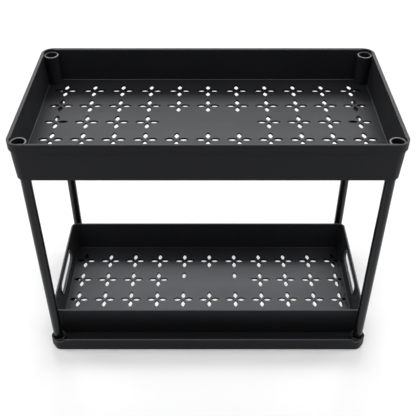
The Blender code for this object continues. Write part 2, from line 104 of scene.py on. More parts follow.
# Sockets of the top tray, with the cup that carries a stacked tier
SOCKET_TOP_Z = TRAY_RIM_Z - 0.0035
SOCKET_FOOT_Z = TRAY_BASE_Z + 0.0005
SOCKET_RADIUS = 0.0085
SOCKET_FOOT_RADIUS = 0.008
SOCKET_LIP = 0.0005
CUP_RADIUS = 0.0066
CUP_FLOOR_ROUND = 0.0005
CUP_FLOOR_Z = SOCKET_TOP_Z - 0.015
WEB_UNDER_Z = CUP_FLOOR_Z - 0.002
BORE_RADIUS = 0.0059
BORE_LIP = 0.0004

# Base frame. Its stations are given as how far out they run and how many they are.
BASE_LOW, BASE_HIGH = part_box("base_frame")
BASE_HALF_LENGTH = 0.1947
BASE_CORNER_RADIUS = 0.010
BASE_WALL = 0.002
LEDGE_Z = BASE_LOW.z + 0.002
BASE_CORNER_Z = BASE_HIGH.z - 0.0044
RIM_END_X = 0.1807
RIM_RAMP = 0.001
RIM_STATIONS = (0.17, 35)
END_STATIONS = (0.085, 18)
END_STEP = 0.0002
WALL_LIP = 0.0009
WALL_TOE = 0.0003
LEDGE_LIP = 0.0003
OPENING_X = 0.1805
OPENING_Y = 0.068
OPENING_CUT = 0.020
CORNER_BLOCK_X = BASE_HALF_LENGTH - 0.0135
CORNER_BLOCK_DROP = 0.0005
BASE_SOCKET_RADIUS = 0.0086
LEAD_IN_RADIUS = 0.0071
LEAD_IN_DEPTH = 0.003
LEAD_IN_ROUND = 0.0005
BASE_BORE_Z = 0.0043

# Foot pads
PAD_LOW, PAD_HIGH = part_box("foot_front_right")
PAD_RADIUS = (PAD_HIGH.x - PAD_LOW.x) / 2
PAD_X = (PAD_LOW.x + PAD_HIGH.x) / 2
PAD_Y = abs(PAD_LOW.y + PAD_HIGH.y) / 2
PAD_GAP = 0.0003
PAD_ROUND = 0.0005
PAD_TOP_ROUND = 0.0002

# Posts
POST_LOW, POST_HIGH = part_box("post_front_right")
POST_RADIUS = (POST_HIGH.x - POST_LOW.x) / 2
POST_X = (POST_LOW.x + POST_HIGH.x) / 2
POST_Y = abs(POST_LOW.y + POST_HIGH.y) / 2
POST_WALL = 0.0009
POST_ROUND = 0.0002

# Drawer
DRAWER_LOW, DRAWER_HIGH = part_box("drawer")
DRAWER_CORNER_RADIUS = 0.007
DRAWER_DRAFT = 0.0038
DRAWER_WALL = 0.002
DRAWER_FLOOR_INSET = DRAWER_DRAFT + DRAWER_WALL
DRAWER_TOE = 0.001
DRAWER_TOE_ROUND = 0.0006
DRAWER_FLOOR_ROUND = 0.0005
DRAWER_FLOOR_Z = DRAWER_LOW.z + 0.0025
SLOT_LENGTH = 0.075
SLOT_HEIGHT = 0.016
SLOT_CORNER_RADIUS = 0.007
SLOT_BAR = 0.0065
SLOT_Z = DRAWER_HIGH.z - SLOT_BAR - SLOT_HEIGHT / 2
SLOT_LIP = 0.0004
COLLAR_DEPTH = 0.0014
COLLAR_WIDTH = 0.0014

# Flowers of four petals, punched through both floors
PETAL_LENGTH = 0.0115
PETAL_WIDTH = 0.0055
PETAL_START = 0.002
PETAL_LIP = 0.00015
PETAL_WALL_MARGIN = 0.003
PETAL_REACH_X = TRAY_HIGH.x - TRAY_FLOOR_INSET - PETAL_WALL_MARGIN / 2
PETAL_REACH_Y = TRAY_HIGH.y - TRAY_FLOOR_INSET - PETAL_WALL_MARGIN / 2
KNEE = 0.008
BACK = 1
FLOWERS_ALONG = 11
TRAY_ROWS = 5
TRAY_PITCH_X = 0.0344
TRAY_PITCH_Y = 0.0355
TRAY_SHIFT_Y = 0.0015
TRAY_BORDER = 0.0017
DRAWER_ROWS = 4
DRAWER_PITCH_X = 0.0353
DRAWER_PITCH_Y = 0.0374
DRAWER_SHIFT_X = 0.0018
DRAWER_SHIFT_Y = -0.0058
DRAWER_BORDER = 0.0013
BARE_ROW = 2
BARE_FLOWERS = slice(4, 7)

# Ground and light, with light as radiance: 1 is white. A lamp has a place, a size and a radiance.
WHITE = (1, 1, 1, 1)
GROUND_REACH = 4.0
GROUND_ROUGHNESS = 0.9
GROUND_GLOSS = 0.1
GROUND_TONE = 0.8
GROUND_BEHIND = 0.52
GROUND_FADE = (0.18, 0.46)
GLOW_NEAR = 0.06
# Painted light: the ground under the drawer glows to the eye over the shade that falls there
GLOW_UNDER_DRAWER = 0.62
GLOW_FAR = 0.9
GLOW_REACH = (0.48, 1.5)
ROOM_LIGHT = 0.1
LAMP_TARGET = (0, 0, 0.15)
LAMPS = {
    "back_high": ((0, 1.07, 1.13), (1.5, 0.34), 8.0),
    "back_low": ((0, 1.26, 0.87), (1.5, 0.28), 2.6),
    "front": ((0, -0.61, 1.46), (1.5, 0.4), 4.7),
    "left": ((-1.05, 0.1, 1.2), (0.6, 1.0), 3.8),
    "right": ((1.05, 0.1, 1.2), (0.6, 1.0), 3.8),
}

# Camera: its place, how far it looks below level, and its sensor and lens in millimetres
CAMERA_PLACE = (0, -0.6569, 0.6830)
CAMERA_DIP = 0.6867
SENSOR_WIDTH = 36.0
LENS = 58.932

# Black plastic, as linear colour, and the colours of painted shade and painted highlights on it
BLACK = ((0.0058, 0.0059, 0.0066), (0.0074, 0.0075, 0.0083))
# Painted shade: a near-black for the petals' upright walls, in place of the shade inside the holes
SHADED_BLACK = ((0.0012, 0.0012, 0.0014), (0.002, 0.002, 0.0022))
# Painted highlight on edges that turn up: a lighter colour, and a brighter one for the base frame
EDGE_HIGHLIGHT_BLACK = (0.055, 0.055, 0.058)
EDGE_HIGHLIGHT_FRAME = (0.11, 0.11, 0.115)
# Painted highlight on the sockets' ring tops: a lighter colour over the whole top
RING_HIGHLIGHT_BLACK = ((0.055, 0.055, 0.058), (0.085, 0.085, 0.09))
# How far up a surface looks where the painted edge highlight rises and falls, and its smoothing
HIGHLIGHT_RISE = (0.15, 0.55)
HIGHLIGHT_FALL = (0.80, 0.96)
EDGE_POLISH = 0.15
FLOW_STRETCH = (6, 32, 32)
FLOW_SWING = 0.018
GLOSS_TINT = (0.91, 0.93, 1.0)

# Noise, as scale, detail and roughness, and the values that it mostly runs between
CLOUDS = (14, 5, 0.6)
SMEARS = (55, 4, 0.55)
BANDS = (1, 3, 0.5)
SPECKLE = (2, 0.5)
NOISE_SPREAD = (0.3, 0.7)

# Grain, as the size and depth of its bump
FINE_GRAIN = (0.0004, 0.00004)
PAINT_GRAIN = (0.0006, 0.00001)
RUBBER_GRAIN = (0.0005, 0.00006)

# Finishes: two colours, two ends of the roughness, specular level, grain, and the colour of the
# painted highlight on their upturned edges
FINISHES = {
    "tray_plastic": (BLACK, (0.49, 0.51), 0.165, FINE_GRAIN, EDGE_HIGHLIGHT_BLACK),
    "frame_plastic": (BLACK, (0.49, 0.51), 0.165, FINE_GRAIN, EDGE_HIGHLIGHT_FRAME),
    "drawer_plastic": (BLACK, (0.48, 0.50), 0.38, FINE_GRAIN, EDGE_HIGHLIGHT_BLACK),
    "post_paint": (BLACK, (0.17, 0.23), 0.27, PAINT_GRAIN, EDGE_HIGHLIGHT_BLACK),
    "plug_plastic": (BLACK, (0.5, 0.65), 0.3, FINE_GRAIN, EDGE_HIGHLIGHT_BLACK),
    "petal_walls": (SHADED_BLACK, (0.8, 0.9), 0.02, FINE_GRAIN, SHADED_BLACK[1]),
    "ring_tops": (RING_HIGHLIGHT_BLACK, (0.40, 0.46), 0.3, FINE_GRAIN, EDGE_HIGHLIGHT_BLACK),
    "foot_rubber": (BLACK, (0.7, 0.85), 0.2, RUBBER_GRAIN, EDGE_HIGHLIGHT_BLACK),
}

CORNERS = {
    "front_left": (-1, -1),
    "front_right": (1, -1),
    "back_left": (-1, 1),
    "back_right": (1, 1),
}


def quads(rings, around, wrap_rings=False):
    """Index quads of a grid of rings by points, closed along each ring.

    A quad joins point k and k + 1 of one ring with the same two of the next. Where the ring runs
    anticlockwise seen from above and the rings climb the outside, its face points out.
    """
    ring = np.arange(rings if wrap_rings else rings - 1)[:, None]
    point = np.arange(around)[None, :]
    after = (point + 1) % around
    above = (ring + 1) % rings
    start = ring * around
    start_above = above * around
    corners = (start + point, start + after, start_above + after, start_above + point)
    return np.stack(corners, axis=-1).reshape(-1, 4)


def merged(blocks):
    """Several (points, quads) pairs as one, with each block's indices moved past the last."""
    points = np.concatenate([block[0].reshape(-1, 3) for block in blocks])
    starts = np.cumsum([0] + [block[0].size // 3 for block in blocks[:-1]])
    faces = np.concatenate([block[1] + start for block, start in zip(blocks, starts)])
    return points, faces


def capped(rings):
    """Rings with one more at each end, which lies all on the middle of the ring beside it."""
    middle = rings[[0, -1]].mean(axis=1, keepdims=True) * np.ones((rings.shape[1], 1))
    return np.concatenate([middle[:1], rings, middle[1:]])


def solid(name, points, faces):
    """An object from points and quads, with points that lie together welded into one."""
    mesh = bpy.data.meshes.new(name)
    mesh.from_pydata(points.reshape(-1, 3).tolist(), [], faces.tolist())
    shape = bmesh.new()
    shape.from_mesh(mesh)
    bmesh.ops.remove_doubles(shape, verts=shape.verts, dist=WELD_DISTANCE)
    shape.to_mesh(mesh)
    shape.free()
    thing = bpy.data.objects.new(name, mesh)
    bpy.context.scene.collection.objects.link(thing)
    return thing


def carve(thing, operation, tool):
    """Join, cut or trim a solid by another at once, and throw the tool away."""
    modifier = thing.modifiers.new("carving", "BOOLEAN")
    modifier.operation = operation
    modifier.solver = "EXACT"
    modifier.object = tool
    graph = bpy.context.evaluated_depsgraph_get()
    carved = bpy.data.meshes.new_from_object(thing.evaluated_get(graph))
    carved.name = thing.data.name
    thing.modifiers.clear()
    thing.data = carved
    bpy.data.objects.remove(tool)


def smooth_finish(thing, material):
    """Shade a finished piece smooth, sharp at its real edges, with flat faces kept flat."""
    thing.data.materials.clear()
    thing.data.materials.append(material)
    thing.data.shade_smooth()
    thing.data.set_sharp_from_angle(angle=SHARP_ANGLE)
    modifier = thing.modifiers.new("flat_faces", "WEIGHTED_NORMAL")
    modifier.keep_sharp = True
    return thing


def face_fields(mesh):
    """Middle and normal of every face of a mesh, as two (faces, 3) arrays."""
    fields = []
    for name in ("center", "normal"):
        values = np.empty(3 * len(mesh.polygons), np.float32)
        mesh.polygons.foreach_get(name, values)
        fields.append(values.reshape(-1, 3))
    return fields


def finish_petal_walls(thing, floor_z, under_z, material):
    """Give the upright walls of the punched petals their own finish: dull, and so near black
    that it is painted shade, in place of the shade that falls inside the holes.

    They are the faces whose middle lies between the floor's two sides and within the petals' reach,
    and whose normal doesn't look nearly straight up or down.
    """
    mesh = thing.data
    mesh.materials.append(material)
    middle, normal = face_fields(mesh)
    x, y, height = np.abs(middle[:, 0]), np.abs(middle[:, 1]), middle[:, 2]
    inside = (height > under_z + PETAL_LIP) & (height < floor_z - PETAL_LIP / 4)
    upright = np.abs(normal[:, 2]) < WALL_LEAN
    within = (x < PETAL_REACH_X) & (y < PETAL_REACH_Y)
    mesh.polygons.foreach_set("material_index", (inside & upright & within).astype(np.int32))
    return thing


def finish_ring_tops(thing, top_z, material):
    """Give the level tops of the socket rings their own finish: a lighter colour that is a painted
    highlight.

    They are the faces that look up, lie at the rings' height and are no further than the socket's
    radius from a post's axis.
    """
    mesh = thing.data
    mesh.materials.append(material)
    middle, normal = face_fields(mesh)
    slots = np.empty(len(mesh.polygons), np.int32)
    mesh.polygons.foreach_get("material_index", slots)
    off_axis = np.hypot(np.abs(middle[:, 0]) - POST_X, np.abs(middle[:, 1]) - POST_Y)
    at_top = np.abs(middle[:, 2] - top_z) < SOCKET_LIP
    looks_up = normal[:, 2] > RING_LOOKS_UP
    slots[at_top & looks_up & (off_axis < SOCKET_RADIUS)] = len(mesh.materials) - 1
    mesh.polygons.foreach_set("material_index", slots)
    return thing


def rounded_profile(points, radii):
    """A profile's straight runs joined by arcs, as rows of (inset, height).

    At each inner corner the arc touches both runs at radius * tan(half the turn) from the corner,
    and its points lie at equal steps of angle round its centre.
    """
    points = np.array(points, float)
    rows = [points[:1]]
    for before, corner, after, radius in zip(points, points[1:], points[2:], radii):
        come = (corner - before) / np.linalg.norm(corner - before)
        leave = (after - corner) / np.linalg.norm(after - corner)
        turn = math.atan2(come[0] * leave[1] - come[1] * leave[0], float(come @ leave))
        reach = radius * math.tan(abs(turn) / 2)
        side = math.copysign(1, turn) * np.array([-come[1], come[0]])
        centre = corner - come * reach + side * radius
        angle = turn * np.linspace(0, 1, FILLET_STEPS + 1)[:, None]
        rows.append(centre - radius * (side * np.cos(angle) - come * np.sin(np.abs(angle))))
    rows.append(points[-1:])
    return np.concatenate(rows)


def outline_path(xs, ys):
    """Core points and outward directions round a rounded rectangle, anticlockwise seen from above.

    The core rectangle has the stations xs along front and back and ys along both ends, and its
    corner is repeated while the direction turns through the arc. A point at an inset is the core
    point + (corner radius - inset) * direction.
    """
    low_y = np.full(len(xs), ys[0])
    high_y = np.full(len(xs), ys[-1])
    low_x = np.full(len(ys), xs[0])
    high_x = np.full(len(ys), xs[-1])
    sides = ((xs, low_y), (high_x, ys), (xs[::-1], high_y), (low_x, ys[::-1]))
    core = []
    angles = []
    for number, (x, y) in enumerate(sides):
        line = np.stack([x, y], axis=1)
        core += [line, np.repeat(line[-1:], ARC_STEPS - 1, axis=0)]
        start = (number - 1) * math.pi / 2
        arc = start + math.pi / 2 * np.arange(1, ARC_STEPS) / ARC_STEPS
        angles += [np.full(len(x), start), arc]
    core = np.concatenate(core)
    angles = np.concatenate(angles)
    return core, np.stack([np.cos(angles), np.sin(angles)], axis=1)


def corner_path(core_x, core_y):
    """An outline path with no stations but its corners."""
    return outline_path(np.array([-core_x, core_x]), np.array([-core_y, core_y]))


def swept_rings(path, radius, profile):
    """One ring of points for each (inset, height) row of a profile, carried round a path."""
    core, outward = path
    reach = (radius - profile[:, 0])[:, None, None]
    flat = core[None] + reach * outward[None]
    heights = np.broadcast_to(profile[:, 1][:, None, None], flat.shape[:2] + (1,))
    return np.concatenate([flat, heights], axis=2)


def stations(edges):
    """Places along a row of tiles, each tile split into equal steps."""
    shares = np.arange(EDGE_STEPS) / EDGE_STEPS
    inner = edges[:-1, None] + (edges[1:] - edges[:-1])[:, None] * shares
    return np.append(inner.ravel(), edges[-1])


def tile_edges(centres, pitch, low, high):
    """The borders between flowers, halfway between them, and no further out than low and high."""
    edges = np.append(centres - pitch / 2, centres[-1] + pitch / 2)
    return np.clip(edges, low, high)


def flower_petals(centres_x, centres_y, half_length, half_width):
    """Centre of every flower, and the length of its four petals: right, back, left, front.

    A petal is PETAL_LENGTH long, or as long as it can be before it comes within the margin of the
    wall that it points at.
    """
    x, y = np.meshgrid(centres_x, centres_y)
    room = np.stack([half_length - x, half_width - y, half_length + x, half_width + y], axis=-1)
    length = np.minimum(PETAL_LENGTH, room - PETAL_WALL_MARGIN - PETAL_START)
    return x, y, length


def petal_ring(centre, direction, length, width, start):
    """Points round each petal: a pointed oval that leaves the flower's centre in its direction.

    With t from 0 to a full turn, the way along is start + length * (1 - cos t) / 2 and the way
    across is width / 2 * sin t * |sin t|, a parabola on each side.
    """
    turn = 2 * math.pi * np.arange(PETAL_POINTS) / PETAL_POINTS
    along = start + length[..., None] * (1 - np.cos(turn)) / 2
    across = -width / 2 * np.sin(turn) * np.abs(np.sin(turn)) * np.ones_like(along)
    angle = direction[..., None] * math.pi / 2
    x = centre[..., 0, None] + along * np.cos(angle) - across * np.sin(angle)
    y = centre[..., 1, None] + along * np.sin(angle) + across * np.cos(angle)
    return np.stack([x, y], axis=-1)


def between(start, end, steps):
    """Points from start up to, but without, end, at equal steps."""
    shares = np.arange(steps) / steps
    return start[..., None, :] + (end - start)[..., None, :] * shares[:, None]


def sector_ring(centre, first, second, first_knee, second_knee):
    """Points round a quarter of a tile: centre, knee, corner, outer edge, corner, knee, centre."""
    runs = (
        between(centre, first_knee, KNEE_STEPS),
        between(first_knee, first, KNEE_STEPS),
        between(first, second, EDGE_STEPS),
        between(second, second_knee, KNEE_STEPS),
        between(second_knee, centre, KNEE_STEPS),
    )
    return np.concatenate(runs, axis=-2)


def at_height(flat, height):
    """Flat points lifted to a height."""
    return np.concatenate([flat, np.full(flat.shape[:-1] + (1,), height)], axis=-1)


def flower_tiles(places, edges_x, edges_y, floor_z, under_z):
    """The pierced floor as (points, quads): a tile for each flower, a quarter of it for each petal.

    Each quarter is a strip of quads from its border in to the petal's lip, down through the floor
    and back out to the border below. A quarter with no petal closes on its middle instead.
    """
    x, y, length, punched = places
    low_x, low_y = np.meshgrid(edges_x[:-1], edges_y[:-1])
    high_x, high_y = np.meshgrid(edges_x[1:], edges_y[1:])
    corner_x = np.stack([high_x, high_x, low_x, low_x], axis=-1)
    corner_y = np.stack([low_y, high_y, high_y, low_y], axis=-1)
    corner = np.stack([corner_x, corner_y], axis=-1)
    centre = np.stack([x, y], axis=-1)[:, :, None, :] * np.ones((4, 1))
    knee = centre + KNEE * np.array([(1, -1), (1, 1), (-1, 1), (-1, -1)])
    next_corner = np.roll(corner, -1, axis=2)
    next_knee = np.roll(knee, -1, axis=2)
    border = sector_ring(centre, corner, next_corner, knee, next_knee)
    direction = np.arange(4) * np.ones_like(length)
    opening = petal_ring(centre, direction, length, PETAL_WIDTH, PETAL_START)
    lip = petal_ring(centre, direction, length + 2 * PETAL_LIP, PETAL_WIDTH + 2 * PETAL_LIP,
                     PETAL_START - PETAL_LIP)
    middle = border.mean(axis=-2, keepdims=True) * np.ones((PETAL_POINTS, 1))
    open_rings = np.stack([
        at_height(border, floor_z),
        at_height(lip, floor_z),
        at_height(opening, floor_z - PETAL_LIP),
        at_height(opening, under_z),
        at_height(border, under_z),
    ], axis=-3)[punched]
    whole = ~punched
    bare_top = np.stack([at_height(border, floor_z), at_height(middle, floor_z)], axis=-3)[whole]
    bare_under = np.stack([at_height(middle, under_z), at_height(border, under_z)], axis=-3)[whole]
    return merged([strips(block) for block in (open_rings, bare_top, bare_under) if len(block)])


def strips(block):
    """Quads for many small ring grids of the same size, stacked in one array."""
    count, rings, around = block.shape[:3]
    one = quads(rings, around)
    faces = one[None] + (np.arange(count) * rings * around)[:, None, None]
    return block.reshape(-1, 3), faces.reshape(-1, 4)


def turned(name, profile, places, sides=TURNED_SIDES, closed=False):
    """Round solids: rows of (radius, height) turned about the upright line through each place.

    Point k of a ring lies at angle 2 pi k / sides. A profile that starts and ends on the axis
    closes there; a closed one joins its last row to its first.
    """
    profile = np.array(profile)
    angle = 2 * math.pi * np.arange(sides) / sides
    x = profile[:, 0, None] * np.cos(angle)
    y = profile[:, 0, None] * np.sin(angle)
    z = profile[:, 1, None] * np.ones(sides)
    rings = np.stack([x, y, z], axis=-1)
    faces = quads(len(profile), sides, wrap_rings=closed)
    return solid(name, *merged([(rings + np.array([px, py, 0]), faces) for px, py in places]))


def corner_places(x, y):
    """The four places at equal distances from the middle."""
    return [(side_x * x, side_y * y) for side_x, side_y in CORNERS.values()]


def flower_rows(count, pitch):
    """Places of a row of things, at equal steps either side of the middle."""
    return pitch * (np.arange(count) - (count - 1) / 2)


def tray_petals():
    """Where the top tray's flowers lie: 11 by 5, bare at the middle three of the middle row."""
    half = (TRAY_HIGH.x - TRAY_FLOOR_INSET, TRAY_HIGH.y - TRAY_FLOOR_INSET)
    centres_x = flower_rows(FLOWERS_ALONG, TRAY_PITCH_X)
    centres_y = TRAY_SHIFT_Y + flower_rows(TRAY_ROWS, TRAY_PITCH_Y)
    punched = np.ones((TRAY_ROWS, FLOWERS_ALONG, 4), bool)
    punched[BARE_ROW, BARE_FLOWERS] = False
    edges_x = tile_edges(centres_x, TRAY_PITCH_X, -half[0], half[0])
    edges_y = tile_edges(centres_y, TRAY_PITCH_Y, -half[1], half[1])
    return (*flower_petals(centres_x, centres_y, *half), punched), edges_x, edges_y


def drawer_petals():
    """Where the drawer's flowers lie: 11 by 4, bare at the middle three of the third row back.

    The bare place keeps the back petal of its first and last flower.
    """
    half = (DRAWER_HIGH.x - DRAWER_FLOOR_INSET, DRAWER_HIGH.y - DRAWER_FLOOR_INSET)
    reach = (half[0] - DRAWER_BORDER, half[1] - DRAWER_BORDER)
    centres_x = DRAWER_SHIFT_X + flower_rows(FLOWERS_ALONG, DRAWER_PITCH_X)
    centres_y = DRAWER_SHIFT_Y + flower_rows(DRAWER_ROWS, DRAWER_PITCH_Y)
    punched = np.ones((DRAWER_ROWS, FLOWERS_ALONG, 4), bool)
    punched[BARE_ROW, BARE_FLOWERS] = False
    for flower in (BARE_FLOWERS.start, BARE_FLOWERS.stop - 1):
        punched[BARE_ROW, flower, BACK] = True
    edges_x = tile_edges(centres_x, DRAWER_PITCH_X, -reach[0], reach[0])
    edges_y = tile_edges(centres_y, DRAWER_PITCH_Y, -reach[1], reach[1])
    return (*flower_petals(centres_x, centres_y, *half), punched), edges_x, edges_y


def pierced_shell(name, half_x, half_y, radius, profile, petals, floor_z, under_z):
    """A tray: its profile carried round the outline, closed above and below by the pierced floor.

    The first and last rings are the floor's rectangle of tiles, so that tiles and shell weld.
    """
    places, edges_x, edges_y = petals
    core_x = half_x - radius
    core_y = half_y - radius
    border = outline_path(stations(edges_x), stations(edges_y))[0]
    xs = np.linspace(-core_x, core_x, EDGE_STEPS * (len(edges_x) - 1) + 1)
    ys = np.linspace(-core_y, core_y, EDGE_STEPS * (len(edges_y) - 1) + 1)
    wall = swept_rings(outline_path(xs, ys), radius, profile)
    under = at_height(border, under_z)[None]
    over = at_height(border, floor_z)[None]
    rings = np.concatenate([under, wall, over])
    faces = quads(rings.shape[0], rings.shape[1])
    floor = flower_tiles(places, edges_x, edges_y, floor_z, under_z)
    return solid(name, *merged([(rings, faces), floor]))


def make_tray(material, petal_wall_material, ring_material):
    """The top tray: band, walls, pierced floor, and sockets with a cup above and a bore below."""
    profile = rounded_profile([
        (TRAY_FLOOR_INSET + TRAY_BORDER, TRAY_UNDER_Z),
        (TRAY_FLOOR_INSET, TRAY_UNDER_Z),
        (TRAY_FLOOR_INSET, TRAY_BASE_Z),
        (TRAY_FOOT_INSET, TRAY_BASE_Z),
        (BAND_PROUD, BAND_Z),
        (0, BAND_Z),
        (0, RIM_CORNER_Z),
        (RIM_WIDTH, RIM_CORNER_Z - RIM_FALL),
        (TRAY_FLOOR_INSET, TRAY_FLOOR_Z),
        (TRAY_FLOOR_INSET + TRAY_BORDER, TRAY_FLOOR_Z),
    ], (EDGE_ROUND, EDGE_ROUND, EDGE_ROUND, STEP_ROUND, BAND_ROUND, RIM_ROUND, RIM_INNER_ROUND,
        TRAY_FLOOR_ROUND))
    tray = pierced_shell("upper_tray", TRAY_HIGH.x, TRAY_HIGH.y, TRAY_CORNER_RADIUS, profile,
                         tray_petals(), TRAY_FLOOR_Z, TRAY_UNDER_Z)
    carve(tray, "UNION", tray_sockets())
    places = corner_places(POST_X, POST_Y)
    carve(tray, "DIFFERENCE", turned("cups", rounded_profile([
        (0, CUP_FLOOR_Z),
        (CUP_RADIUS, CUP_FLOOR_Z),
        (CUP_RADIUS, SOCKET_TOP_Z),
        (CUP_RADIUS + CUT_OVERRUN, SOCKET_TOP_Z),
        (CUP_RADIUS + CUT_OVERRUN, TRAY_RIM_Z),
        (0, TRAY_RIM_Z),
    ], (CUP_FLOOR_ROUND, SOCKET_LIP, TOOL_ROUND, TOOL_ROUND)), places))
    carve(tray, "DIFFERENCE", turned("bores", rounded_profile([
        (0, TRAY_BASE_Z - TOOL_MARGIN),
        (BORE_RADIUS + TOOL_MARGIN, TRAY_BASE_Z - TOOL_MARGIN),
        (BORE_RADIUS + TOOL_MARGIN, SOCKET_FOOT_Z),
        (BORE_RADIUS, SOCKET_FOOT_Z),
        (BORE_RADIUS, WEB_UNDER_Z),
        (0, WEB_UNDER_Z),
    ], (TOOL_ROUND, TOOL_ROUND, BORE_LIP, STEP_ROUND)), places))
    smooth_finish(tray, material)
    finish_petal_walls(tray, TRAY_FLOOR_Z, TRAY_UNDER_Z, petal_wall_material)
    return finish_ring_tops(tray, SOCKET_TOP_Z, ring_material)


def tray_sockets():
    """The four socket columns of the top tray, trimmed inside its wall."""
    columns = turned("sockets", rounded_profile([
        (0, SOCKET_FOOT_Z),
        (SOCKET_FOOT_RADIUS, SOCKET_FOOT_Z),
        (SOCKET_RADIUS, SOCKET_TOP_Z),
        (0, SOCKET_TOP_Z),
    ], (BORE_LIP, SOCKET_LIP)), corner_places(POST_X, POST_Y))
    middle = BAND_PROUD + TRAY_WALL / 2
    profile = np.array([
        (TRAY_CORNER_RADIUS, TRAY_BASE_Z),
        (middle + TRAY_DRAFT, TRAY_BASE_Z),
        (middle, TRAY_RIM_Z),
        (TRAY_CORNER_RADIUS, TRAY_RIM_Z),
    ])
    path = corner_path(TRAY_HIGH.x - TRAY_CORNER_RADIUS, TRAY_HIGH.y - TRAY_CORNER_RADIUS)
    rings = capped(swept_rings(path, TRAY_CORNER_RADIUS, profile))
    trim = solid("socket_trim", rings, quads(rings.shape[0], rings.shape[1]))
    carve(columns, "INTERSECT", trim)
    return columns


def rim_heights(path, radius):
    """How high the base frame's wall stands at each point of its outline.

    Full height along front and back, a short ramp down to the corners, and the ledge's own height
    along both ends, where the drawer slides out.
    """
    core, outward = path
    x, y = np.abs(core + radius * outward).T
    ramp = np.interp(x, [RIM_END_X - RIM_RAMP, RIM_END_X + RIM_RAMP], [BASE_HIGH.z, BASE_CORNER_Z])
    at_end = (y <= POST_Y) & (x > RIM_END_X)
    return np.where(at_end, LEDGE_Z, ramp)


def octagon_ring(path, height):
    """The ledge's opening as a ring that matches the outline path point by point.

    Each point is where the line out from the middle through the core point meets the opening: the
    octagon is the set where the largest of x / OPENING_X, y / OPENING_Y and the cut corner's
    measure is one.
    """
    core = path[0]
    x, y = np.abs(core).T
    corner = (x + y) / (OPENING_X + OPENING_Y - OPENING_CUT)
    measure = np.maximum(np.maximum(x / OPENING_X, y / OPENING_Y), corner)
    flat = core / measure[:, None]
    return at_height(flat, height)[None]


def base_shell():
    """The base frame's skin, one closed band round the ledge's opening.

    Its rings run out under the ledge, up the outer face to the wall's height, over the rim, down
    the inner face and in along the ledge. Where the wall is no higher than the ledge, its inner
    face shrinks to nothing.
    """
    core_x = BASE_HALF_LENGTH - BASE_CORNER_RADIUS
    core_y = BASE_HIGH.y - BASE_CORNER_RADIUS
    ramp = np.array([RIM_END_X - RIM_RAMP, RIM_END_X, RIM_END_X + RIM_RAMP])
    along = np.linspace(-RIM_STATIONS[0], RIM_STATIONS[0], RIM_STATIONS[1])
    xs = np.concatenate([[-core_x], -ramp[::-1], along, ramp, [core_x]])
    step = np.array([POST_Y, POST_Y + END_STEP])
    along = np.linspace(-END_STATIONS[0], END_STATIONS[0], END_STATIONS[1])
    ys = np.concatenate([[-core_y], -step[::-1], along, step, [core_y]])
    path = outline_path(xs, ys)
    top = rim_heights(path, BASE_CORNER_RADIUS)
    angle = np.linspace(0, math.pi / 2, FILLET_STEPS + 1)
    lift = 1 - np.cos(angle)
    swing = np.sin(angle)
    insets = np.concatenate([WALL_TOE * (1 - swing), WALL_LIP * lift,
                             BASE_WALL - WALL_LIP * (1 - swing), BASE_WALL + WALL_TOE * lift])
    under = BASE_LOW.z + WALL_TOE * lift[:, None] * np.ones_like(top)
    outer = top - WALL_LIP * (1 - swing)[:, None]
    inner = np.maximum(top - WALL_LIP * lift[:, None], LEDGE_Z)
    toe = np.minimum(LEDGE_Z + WALL_TOE * (1 - swing)[:, None], top)
    heights = np.concatenate([under, outer, inner, toe])
    core, outward = path
    flat = core[None] + (BASE_CORNER_RADIUS - insets)[:, None, None] * outward[None]
    skin = np.concatenate([flat, heights[..., None]], axis=2)
    hole = octagon_ring(path, LEDGE_Z)
    wide = hole * np.array([1 + LEDGE_LIP / OPENING_X, 1 + LEDGE_LIP / OPENING_Y, 1])
    rings = np.concatenate([
        octagon_ring(path, BASE_LOW.z), skin, wide, octagon_ring(path, LEDGE_Z - LEDGE_LIP)])
    return solid("floor_frame", rings, quads(rings.shape[0], rings.shape[1], wrap_rings=True))


def corner_blocks():
    """The fill outside each base socket: a quarter of the outline, at half the wall's depth."""
    low = LEDGE_Z - TOOL_MARGIN
    high = BASE_CORNER_Z - CORNER_BLOCK_DROP
    depth = BASE_WALL / 2
    arc_x = BASE_HALF_LENGTH - BASE_CORNER_RADIUS
    arc_y = BASE_HIGH.y - BASE_CORNER_RADIUS
    angle = np.linspace(0, math.pi / 2, ARC_STEPS + 1)
    radius = BASE_CORNER_RADIUS - depth
    arc = np.stack([arc_x + radius * np.cos(angle), arc_y + radius * np.sin(angle)], axis=1)
    start = [(CORNER_BLOCK_X, POST_Y), (arc_x + radius, POST_Y)]
    outline = np.concatenate([start, arc, [(CORNER_BLOCK_X, arc_y + radius)]])
    blocks = []
    for side in CORNERS.values():
        turned_over = side[0] * side[1] < 0
        ring = (outline[::-1] if turned_over else outline) * np.array(side)
        rings = capped(np.stack([at_height(ring, low), at_height(ring, high)]))
        blocks.append((rings, quads(len(rings), len(ring))))
    return solid("corner_blocks", *merged(blocks))


